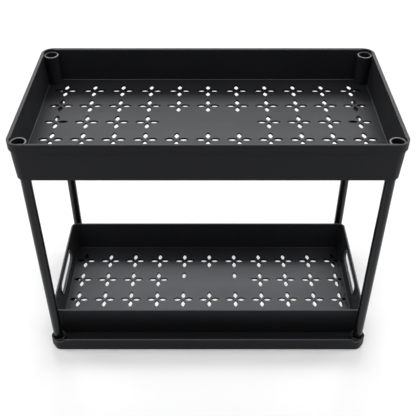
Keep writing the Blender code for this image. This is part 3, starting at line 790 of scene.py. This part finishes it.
def make_base(material):
    """The base frame: rims, ledge, corner sockets and pad recesses."""
    base = base_shell()
    places = corner_places(POST_X, POST_Y)
    carve(base, "UNION", corner_blocks())
    carve(base, "UNION", turned("base_sockets", rounded_profile([
        (0, LEDGE_Z - TOOL_MARGIN),
        (BASE_SOCKET_RADIUS, LEDGE_Z - TOOL_MARGIN),
        (BASE_SOCKET_RADIUS, BASE_CORNER_Z),
        (0, BASE_CORNER_Z),
    ], (TOOL_ROUND, SOCKET_LIP)), places))
    carve(base, "DIFFERENCE", turned("base_bores", rounded_profile([
        (0, BASE_BORE_Z),
        (BORE_RADIUS, BASE_BORE_Z),
        (BORE_RADIUS, BASE_CORNER_Z - LEAD_IN_DEPTH),
        (LEAD_IN_RADIUS, BASE_CORNER_Z - LEAD_IN_DEPTH),
        (LEAD_IN_RADIUS, BASE_CORNER_Z),
        (LEAD_IN_RADIUS + TOOL_MARGIN, BASE_CORNER_Z),
        (LEAD_IN_RADIUS + TOOL_MARGIN, BASE_HIGH.z),
        (0, BASE_HIGH.z),
    ], (STEP_ROUND, STEP_ROUND, STEP_ROUND, LEAD_IN_ROUND, TOOL_ROUND, TOOL_ROUND)), places))
    carve(base, "DIFFERENCE", turned("pad_recesses", [
        (0, 0),
        (PAD_RADIUS + PAD_GAP, 0),
        (PAD_RADIUS + PAD_GAP, PAD_HIGH.z + PAD_GAP),
        (0, PAD_HIGH.z + PAD_GAP),
    ], corner_places(PAD_X, PAD_Y)))
    return smooth_finish(base, material)


def slot_form(name, side, grown, way):
    """A solid that follows the handle slot's outline through the drawer's leaning end wall.

    Each ring is the slot's rounded rectangle grown by one value of grown, and lies at the outer
    face's x less the same value of way.
    """
    path = corner_path(SLOT_LENGTH / 2 - SLOT_CORNER_RADIUS, SLOT_HEIGHT / 2 - SLOT_CORNER_RADIUS)
    flat = swept_rings(path, SLOT_CORNER_RADIUS, np.stack([-grown, way], axis=1))
    y = flat[..., 0]
    z = SLOT_Z + flat[..., 1]
    lean = DRAWER_DRAFT * (DRAWER_HIGH.z - z) / (DRAWER_HIGH.z - DRAWER_LOW.z)
    x = DRAWER_HIGH.x - lean - flat[..., 2]
    rings = capped(np.stack([side * x, y, z], axis=-1))
    faces = quads(rings.shape[0], rings.shape[1])
    return solid(name, rings, faces if side < 0 else faces[:, ::-1])


def slot_cutter(side):
    """The hole of one handle slot, flared by a quarter round at both faces.

    At an angle a of the quarter round, the hole has grown by lip * (1 - sin a) and lies
    lip * (1 - cos a) below the face, less a clearance, so that no face of the cutter lies in it.
    """
    angle = np.linspace(0, math.pi / 2, FILLET_STEPS + 1)
    flare = SLOT_LIP * (1 - np.sin(angle))
    depth = SLOT_LIP * (1 - np.cos(angle)) - CUT_CLEARANCE
    through = DRAWER_WALL + COLLAR_DEPTH
    grown = np.concatenate([[SLOT_LIP], flare, flare[::-1], [SLOT_LIP]])
    way = np.concatenate([[-CUT_OVERRUN], depth, through - depth[::-1], [through + CUT_OVERRUN]])
    return slot_form("handle_slot", side, grown, way)


def slot_collar(side):
    """The thicker lip round a handle slot, which stands into the drawer."""
    angle = np.linspace(0, math.pi / 2, FILLET_STEPS + 1)
    grown = np.append([COLLAR_WIDTH], COLLAR_WIDTH - SLOT_LIP * (1 - np.cos(angle)))
    through = DRAWER_WALL + COLLAR_DEPTH
    way = np.append([DRAWER_WALL / 2], through - SLOT_LIP * (1 - np.sin(angle)))
    return slot_form("slot_collar", side, grown, way)


def make_drawer(material, petal_wall_material):
    """The drawer: leaning walls, a pierced floor, and a handle slot in each end."""
    profile = rounded_profile([
        (DRAWER_FLOOR_INSET + DRAWER_TOE, DRAWER_LOW.z),
        (DRAWER_DRAFT, DRAWER_LOW.z),
        (0, DRAWER_HIGH.z),
        (DRAWER_WALL, DRAWER_HIGH.z),
        (DRAWER_FLOOR_INSET, DRAWER_FLOOR_Z),
        (DRAWER_FLOOR_INSET + DRAWER_TOE, DRAWER_FLOOR_Z),
    ], (DRAWER_TOE_ROUND, EDGE_ROUND, EDGE_ROUND, DRAWER_FLOOR_ROUND))
    drawer = pierced_shell("lower_drawer", DRAWER_HIGH.x, DRAWER_HIGH.y, DRAWER_CORNER_RADIUS,
                           profile, drawer_petals(), DRAWER_FLOOR_Z, DRAWER_LOW.z)
    for side in (1, -1):
        carve(drawer, "UNION", slot_collar(side))
        carve(drawer, "DIFFERENCE", slot_cutter(side))
    smooth_finish(drawer, material)
    return finish_petal_walls(drawer, DRAWER_FLOOR_Z, DRAWER_LOW.z, petal_wall_material)


def make_post(corner, side, material):
    """One tube, with its cut ends just taken off."""
    inner = POST_RADIUS - POST_WALL
    profile = rounded_profile([
        (POST_RADIUS - POST_WALL / 2, POST_LOW.z),
        (POST_RADIUS, POST_LOW.z),
        (POST_RADIUS, POST_HIGH.z),
        (inner, POST_HIGH.z),
        (inner, POST_LOW.z),
        (POST_RADIUS - POST_WALL / 2, POST_LOW.z),
    ], (POST_ROUND,) * 4)[:-1]
    place = (side[0] * POST_X, side[1] * POST_Y)
    return smooth_finish(turned("tube_" + corner, profile, [place], closed=True), material)


def make_pad(corner, side, material):
    """One round pad, softly rounded where it meets the ground."""
    profile = rounded_profile([
        (0, PAD_LOW.z),
        (PAD_RADIUS, PAD_LOW.z),
        (PAD_RADIUS, PAD_HIGH.z),
        (0, PAD_HIGH.z),
    ], (PAD_ROUND, PAD_TOP_ROUND))
    place = (side[0] * PAD_X, side[1] * PAD_Y)
    return smooth_finish(turned("pad_" + corner, profile, [place], sides=SMALL_SIDES), material)


def add_node(tree, kind, **settings):
    """A node with some of its settings and inputs given by name."""
    node = tree.nodes.new(kind)
    for name, value in settings.items():
        if hasattr(node, name):
            setattr(node, name, value)
        else:
            node.inputs[name.replace("_", " ")].default_value = value
    return node


def noise(tree, place, scale, detail, roughness):
    """The value of a noise at a place."""
    node = add_node(tree, "ShaderNodeTexNoise", Scale=scale, Detail=detail, Roughness=roughness)
    tree.links.new(place, node.inputs["Vector"])
    return node.outputs["Fac"]


def maths(tree, operation, *values):
    """The result of a sum, from numbers and other nodes' outputs."""
    node = add_node(tree, "ShaderNodeMath", operation=operation)
    for socket, value in zip(node.inputs, values):
        if isinstance(value, float):
            socket.default_value = value
        else:
            tree.links.new(value, socket)
    return node.outputs[0]


def varied(tree, source, low, high, spread=NOISE_SPREAD):
    """A node's value, as it runs over a spread, turned to run between two numbers."""
    change = add_node(tree, "ShaderNodeMapRange", From_Min=spread[0], From_Max=spread[1],
                      To_Min=low, To_Max=high)
    tree.links.new(source, change.inputs["Value"])
    return change.outputs["Result"]


def blended(tree, share, first, second):
    """Two colours mixed by a share. Each is a fixed colour or another node's output."""
    mix = add_node(tree, "ShaderNodeMix", data_type="RGBA")
    colours = [socket for socket in mix.inputs if socket.type == "RGBA"]
    tree.links.new(share, mix.inputs[0])
    for socket, colour in zip(colours, (first, second)):
        if isinstance(colour, tuple):
            socket.default_value = (*colour, 1)
        else:
            tree.links.new(colour, socket)
    return [socket for socket in mix.outputs if socket.type == "RGBA"][0]


def painted_highlight_edges(tree):
    """Where the painted highlight goes: one on the rounded edges between walls and level faces,
    and nought on both.

    The measure is how far up the surface looks: it rises over HIGHLIGHT_RISE as a wall turns over
    and falls over HIGHLIGHT_FALL as it becomes level.
    """
    facing = add_node(tree, "ShaderNodeSeparateXYZ")
    tree.links.new(add_node(tree, "ShaderNodeTexCoord").outputs["Normal"], facing.inputs[0])
    turned_over = varied(tree, facing.outputs["Z"], 0, 1, HIGHLIGHT_RISE)
    not_level = varied(tree, facing.outputs["Z"], 1, 0, HIGHLIGHT_FALL)
    return maths(tree, "MULTIPLY", turned_over, not_level)


def moulded_finish(name, colours, roughness, gloss, grain, edge_highlight):
    """A satin surface, with the marks that moulding leaves and a painted highlight on its edges.

    Its tone drifts between two colours in soft clouds, its gloss in smears and in long faint flow
    bands along the rack, its edges that turn up take a lighter colour, a painted highlight, and are
    made smoother, and a fine grain is its bump. roughness is the two ends of that, gloss the
    specular level, grain the bump's size and depth in metres, and the last argument the colour of
    the painted highlight on the edges.
    """
    material = bpy.data.materials.new(name)
    material.use_nodes = True
    tree = material.node_tree
    shader = tree.nodes["Principled BSDF"]
    shader.inputs["Specular IOR Level"].default_value = gloss
    shader.inputs["Specular Tint"].default_value = (*GLOSS_TINT, 1)
    place = add_node(tree, "ShaderNodeTexCoord").outputs["Object"]
    drawn_out = add_node(tree, "ShaderNodeMapping", Scale=FLOW_STRETCH)
    tree.links.new(place, drawn_out.inputs["Vector"])
    # The painted highlight: a lighter colour on the edges that turn up
    edge = painted_highlight_edges(tree)
    tone = blended(tree, varied(tree, noise(tree, place, *CLOUDS), 0, 1), *colours)
    tree.links.new(blended(tree, edge, tone, edge_highlight), shader.inputs["Base Color"])
    smears = varied(tree, noise(tree, place, *SMEARS), *roughness)
    bands = varied(tree, noise(tree, drawn_out.outputs["Vector"], *BANDS), -FLOW_SWING, FLOW_SWING)
    polished = maths(tree, "MULTIPLY_ADD", edge, -EDGE_POLISH, maths(tree, "ADD", smears, bands))
    tree.links.new(polished, shader.inputs["Roughness"])
    bump = add_node(tree, "ShaderNodeBump", Strength=1.0, Distance=grain[1])
    tree.links.new(noise(tree, place, 1 / grain[0], *SPECKLE), bump.inputs["Height"])
    tree.links.new(bump.outputs["Normal"], shader.inputs["Normal"])
    material.diffuse_color = (*colours[1], 1)
    return material


def seen_directly(tree):
    """One where a ray comes from the camera, a mirror or glass, and nought elsewhere."""
    ray = add_node(tree, "ShaderNodeLightPath").outputs
    eye_or_mirror = maths(tree, "MAXIMUM", ray["Is Camera Ray"], ray["Is Glossy Ray"])
    return maths(tree, "MAXIMUM", eye_or_mirror, ray["Is Transmission Ray"])


def glow_level(tree):
    """How much the floor glows to the eye: under the drawer, as painted light that lifts the shade
    there, and ever more far from the rack.
    """
    spot = add_node(tree, "ShaderNodeTexCoord").outputs["Object"]
    place = add_node(tree, "ShaderNodeSeparateXYZ")
    tree.links.new(spot, place.inputs[0])
    distance = add_node(tree, "ShaderNodeVectorMath", operation="LENGTH")
    tree.links.new(spot, distance.inputs[0])
    far = varied(tree, distance.outputs["Value"], GLOW_NEAR, GLOW_FAR, GLOW_REACH)
    # Painted light over the shaded ground under the drawer
    inside = []
    for axis, reach in (("X", OPENING_X), ("Y", OPENING_Y)):
        inside.append(maths(tree, "LESS_THAN", maths(tree, "ABSOLUTE", place.outputs[axis]), reach))
    under_drawer = varied(tree, maths(tree, "MULTIPLY", *inside), 0, GLOW_UNDER_DRAWER, (0, 1))
    return maths(tree, "ADD", under_drawer, far)


def make_ground():
    """A plain pale floor, toned down where the lamps are close, that keeps the rack's shadow except
    under the drawer, where painted light lifts the shade.
    """
    points = GROUND_REACH * np.array([(-1, -1, 0), (1, -1, 0), (1, 1, 0), (-1, 1, 0)])
    ground = solid("ground", points, np.array([[0, 1, 2, 3]]))
    material = bpy.data.materials.new("ground_paper")
    material.use_nodes = True
    tree = material.node_tree
    shader = tree.nodes["Principled BSDF"]
    place = add_node(tree, "ShaderNodeSeparateXYZ")
    tree.links.new(add_node(tree, "ShaderNodeTexCoord").outputs["Object"], place.inputs[0])
    tone = varied(tree, place.outputs["Y"], GROUND_TONE, GROUND_BEHIND, GROUND_FADE)
    tree.links.new(tone, shader.inputs["Base Color"])
    shader.inputs["Roughness"].default_value = GROUND_ROUGHNESS
    shader.inputs["Specular IOR Level"].default_value = GROUND_GLOSS
    shader.inputs["Emission Color"].default_value = WHITE
    glow = maths(tree, "MULTIPLY", seen_directly(tree), glow_level(tree))
    tree.links.new(glow, shader.inputs["Emission Strength"])
    ground.data.materials.append(material)


def make_room():
    """The world: white to the eye and in reflections, and a dim even light."""
    world = bpy.data.worlds.new("room")
    bpy.context.scene.world = world
    world.use_nodes = True
    tree = world.node_tree
    background = tree.nodes["Background"]
    background.inputs["Color"].default_value = WHITE
    level = varied(tree, seen_directly(tree), ROOM_LIGHT, 1.0, (0, 1))
    tree.links.new(level, background.inputs["Strength"])


def soft_lamp(name, place, size, radiance):
    """A rectangular soft box at a place, facing the rack's middle.

    Its power is 4 * radiance * area, so that the number given is how bright its face looks.
    """
    light = bpy.data.lights.new(name, "AREA")
    light.shape = "RECTANGLE"
    light.size, light.size_y = size
    light.energy = 4 * radiance * size[0] * size[1]
    lamp = bpy.data.objects.new(name, light)
    way = np.array(LAMP_TARGET) - np.array(place)
    lamp.location = place
    lamp.rotation_euler = (math.acos(-way[2] / np.linalg.norm(way)), 0, math.atan2(-way[0], way[1]))
    lamp.visible_camera = False
    bpy.context.scene.collection.objects.link(lamp)


def make_lamps():
    """Two soft boxes behind the rack, a long one above its front, and one high at each side."""
    for name, (place, size, radiance) in LAMPS.items():
        soft_lamp(name, place, size, radiance)


def make_camera():
    """The photograph's point of view."""
    data = bpy.data.cameras.new("camera")
    data.sensor_width = SENSOR_WIDTH
    data.lens = LENS
    camera = bpy.data.objects.new("camera", data)
    camera.location = CAMERA_PLACE
    camera.rotation_euler = (math.pi / 2 - CAMERA_DIP, 0, 0)
    bpy.context.scene.collection.objects.link(camera)
    bpy.context.scene.camera = camera


def place_piece(piece, body, node):
    """Let a piece ride on its body and stand for its CAD node."""
    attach(piece, body)
    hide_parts(node)


def main():
    """Dress the frame, light it and set the camera."""
    finish = {name: moulded_finish(name, *values) for name, values in FINISHES.items()}
    tray = make_tray(finish["tray_plastic"], finish["petal_walls"], finish["ring_tops"])
    place_piece(tray, "rack", "top_tray")
    place_piece(make_base(finish["frame_plastic"]), "rack", "base_frame")
    drawer = make_drawer(finish["drawer_plastic"], finish["petal_walls"])
    place_piece(drawer, "drawer", "drawer")
    for corner, side in CORNERS.items():
        post = make_post(corner, side, finish["post_paint"])
        place_piece(post, "rack", "post_" + corner)
        pad = make_pad(corner, side, finish["foot_rubber"])
        place_piece(pad, "rack", "foot_" + corner)
        for end in ("_low", "_high"):
            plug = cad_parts["plug_" + corner + end]
            plug.data.materials.clear()
            plug.data.materials.append(finish["plug_plastic"])
    bpy.context.scene.view_settings.view_transform = "Standard"
    make_ground()
    make_room()
    make_lamps()
    make_camera()


main()
